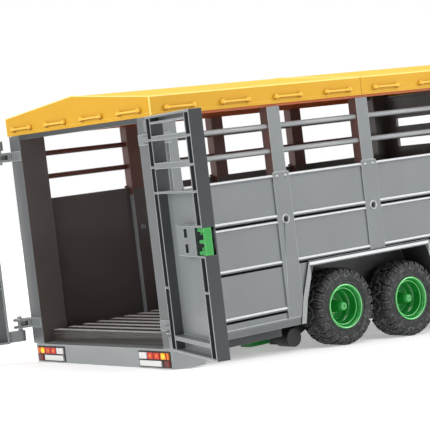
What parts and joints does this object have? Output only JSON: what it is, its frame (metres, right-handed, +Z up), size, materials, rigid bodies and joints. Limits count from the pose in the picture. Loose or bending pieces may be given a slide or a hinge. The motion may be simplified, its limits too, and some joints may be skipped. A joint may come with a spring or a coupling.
{
  "type": "livestock trailer",
  "caption": "Two-axle livestock trailer with lowering swing axles, slatted floor, open railed windows, lift-off gabled roof, double rear doors, drawbar and jack.",
  "frame": {"origin": "centre of the jack foot where it meets the ground, on the centre plane", "axes": "+X forward along the ground towards the tow eye, +Y left, +Z up; the body is pitched 3.7 degrees nose up about its rear bumper, as when lowered for loading"},
  "size_m": [0.5345, 0.2891, 0.1897],
  "materials": {
    "roof_plastic": "semi-gloss moulded, amber yellow",
    "body_plastic": "satin moulded, mid grey",
    "frame_plastic": "satin moulded, dark grey",
    "floor_plastic": "satin moulded, grey",
    "black_plastic": "fine grained, black",
    "green_plastic": "glossy moulded, green",
    "tyre_rubber": "matt rubber",
    "amber_lens": "clear amber print",
    "red_lens": "clear red print",
    "clear_lens": "clear print",
    "plate_white": "blank plate",
    "pin_steel": "turned"
  },
  "bodies": {
    "root": {"rear_portal": "body_plastic", "front_portal": "body_plastic", "front_wall": "body_plastic", "rear_bumper": "body_plastic", "left_side_panel": "body_plastic", "right_side_panel": "body_plastic", "left_side_posts": "body_plastic", "right_side_posts": "body_plastic", "left_window_rails": "body_plastic", "right_window_rails": "body_plastic", "left_top_rail": "body_plastic", "right_top_rail": "body_plastic", "side_rivets": "body_plastic", "left_hinge_brackets": "body_plastic", "right_hinge_brackets": "body_plastic", "floor": "floor_plastic", "chassis_frame": "frame_plastic", "pivot_hangers": "frame_plastic", "drawbar": "frame_plastic", "jack_tube": "frame_plastic", "left_wheel_arch": "black_plastic", "right_wheel_arch": "black_plastic", "lamp_panels": "black_plastic", "indicator_lenses": "amber_lens", "tail_lenses": "red_lens", "reversing_lenses": "clear_lens", "number_plates": "plate_white", "tow_eye": "pin_steel"},
    "rear_roof": {"rear_roof": "roof_plastic", "rear_lashing_bars": "roof_plastic"},
    "front_roof": {"front_roof": "roof_plastic", "front_lashing_bars": "roof_plastic"},
    "left_door": {"left_door_leaf": "body_plastic", "left_door_hinge_arms": "body_plastic", "left_door_hinge_pins": "pin_steel"},
    "right_door": {"right_door_leaf": "body_plastic", "right_door_hinge_arms": "body_plastic", "right_door_hinge_pins": "pin_steel"},
    "door_latch": {"door_latch": "green_plastic"},
    "rear_axle": {"rear_swing_arms": "black_plastic", "rear_pivot_shaft": "pin_steel", "rear_stub_axles": "pin_steel", "lowering_lever": "green_plastic"},
    "front_axle": {"front_swing_arms": "black_plastic", "front_pivot_shaft": "pin_steel", "front_stub_axles": "pin_steel"},
    "jack_leg": {"jack_leg": "pin_steel", "jack_foot": "black_plastic"},
    "left_rear_wheel": {"left_rear_tyre": "tyre_rubber", "left_rear_rim": "green_plastic", "left_rear_hub_cap": "green_plastic"},
    "right_rear_wheel": {"right_rear_tyre": "tyre_rubber", "right_rear_rim": "green_plastic", "right_rear_hub_cap": "green_plastic"},
    "left_front_wheel": {"left_front_tyre": "tyre_rubber", "left_front_rim": "green_plastic", "left_front_hub_cap": "green_plastic"},
    "right_front_wheel": {"right_front_tyre": "tyre_rubber", "right_front_rim": "green_plastic", "right_front_hub_cap": "green_plastic"}
  },
  "joints": [
    {"name": "rear_roof_lift", "type": "slide", "parent": "root", "child": "rear_roof", "axis": [-0.0645, 0, 0.9979], "range_m": [0, 0.03]},
    {"name": "front_roof_lift", "type": "slide", "parent": "root", "child": "front_roof", "axis": [-0.0645, 0, 0.9979], "range_m": [0, 0.03]},
    {"name": "left_door_swing", "type": "hinge", "parent": "root", "child": "left_door", "pos_m": [-0.39636, 0.084, 0.07953], "axis": [0.0645, 0, -0.9979], "range_deg": [-117, 151]},
    {"name": "right_door_swing", "type": "hinge", "parent": "root", "child": "right_door", "pos_m": [-0.39636, -0.084, 0.07953], "axis": [-0.0645, 0, 0.9979], "range_deg": [-161.5, 106.5]},
    {"name": "door_latch_slide", "type": "slide", "parent": "right_door", "child": "door_latch", "axis": [-0.3166, -0.9483, -0.0205], "range_m": [0, 0.004]},
    {"name": "rear_axle_swing", "type": "hinge", "parent": "root", "child": "rear_axle", "pos_m": [-0.28109, 0, 0.00782], "axis": [0, 1, 0], "range_deg": [0, 44]},
    {"name": "front_axle_swing", "type": "hinge", "parent": "root", "child": "front_axle", "pos_m": [-0.22391, 0, 0.01152], "axis": [0, 1, 0], "range_deg": [0, 38]},
    {"name": "left_rear_wheel_spin", "type": "hinge", "parent": "rear_axle", "child": "left_rear_wheel", "pos_m": [-0.24832, 0.06735, 0.025], "axis": [0, 1, 0], "continuous": true},
    {"name": "right_rear_wheel_spin", "type": "hinge", "parent": "rear_axle", "child": "right_rear_wheel", "pos_m": [-0.24832, -0.06735, 0.025], "axis": [0, 1, 0], "continuous": true},
    {"name": "left_front_wheel_spin", "type": "hinge", "parent": "front_axle", "child": "left_front_wheel", "pos_m": [-0.18945, 0.06735, 0.025], "axis": [0, 1, 0], "continuous": true},
    {"name": "right_front_wheel_spin", "type": "hinge", "parent": "front_axle", "child": "right_front_wheel", "pos_m": [-0.18945, -0.06735, 0.025], "axis": [0, 1, 0], "continuous": true},
    {"name": "jack_leg_slide", "type": "slide", "parent": "root", "child": "jack_leg", "axis": [0.0645, 0, -0.9979], "range_m": [0, 0.025]}
  ],
  "couplings": [
    {"joint": "front_axle_swing", "follows": "rear_axle_swing", "ratio": 0.8568}
  ]
}
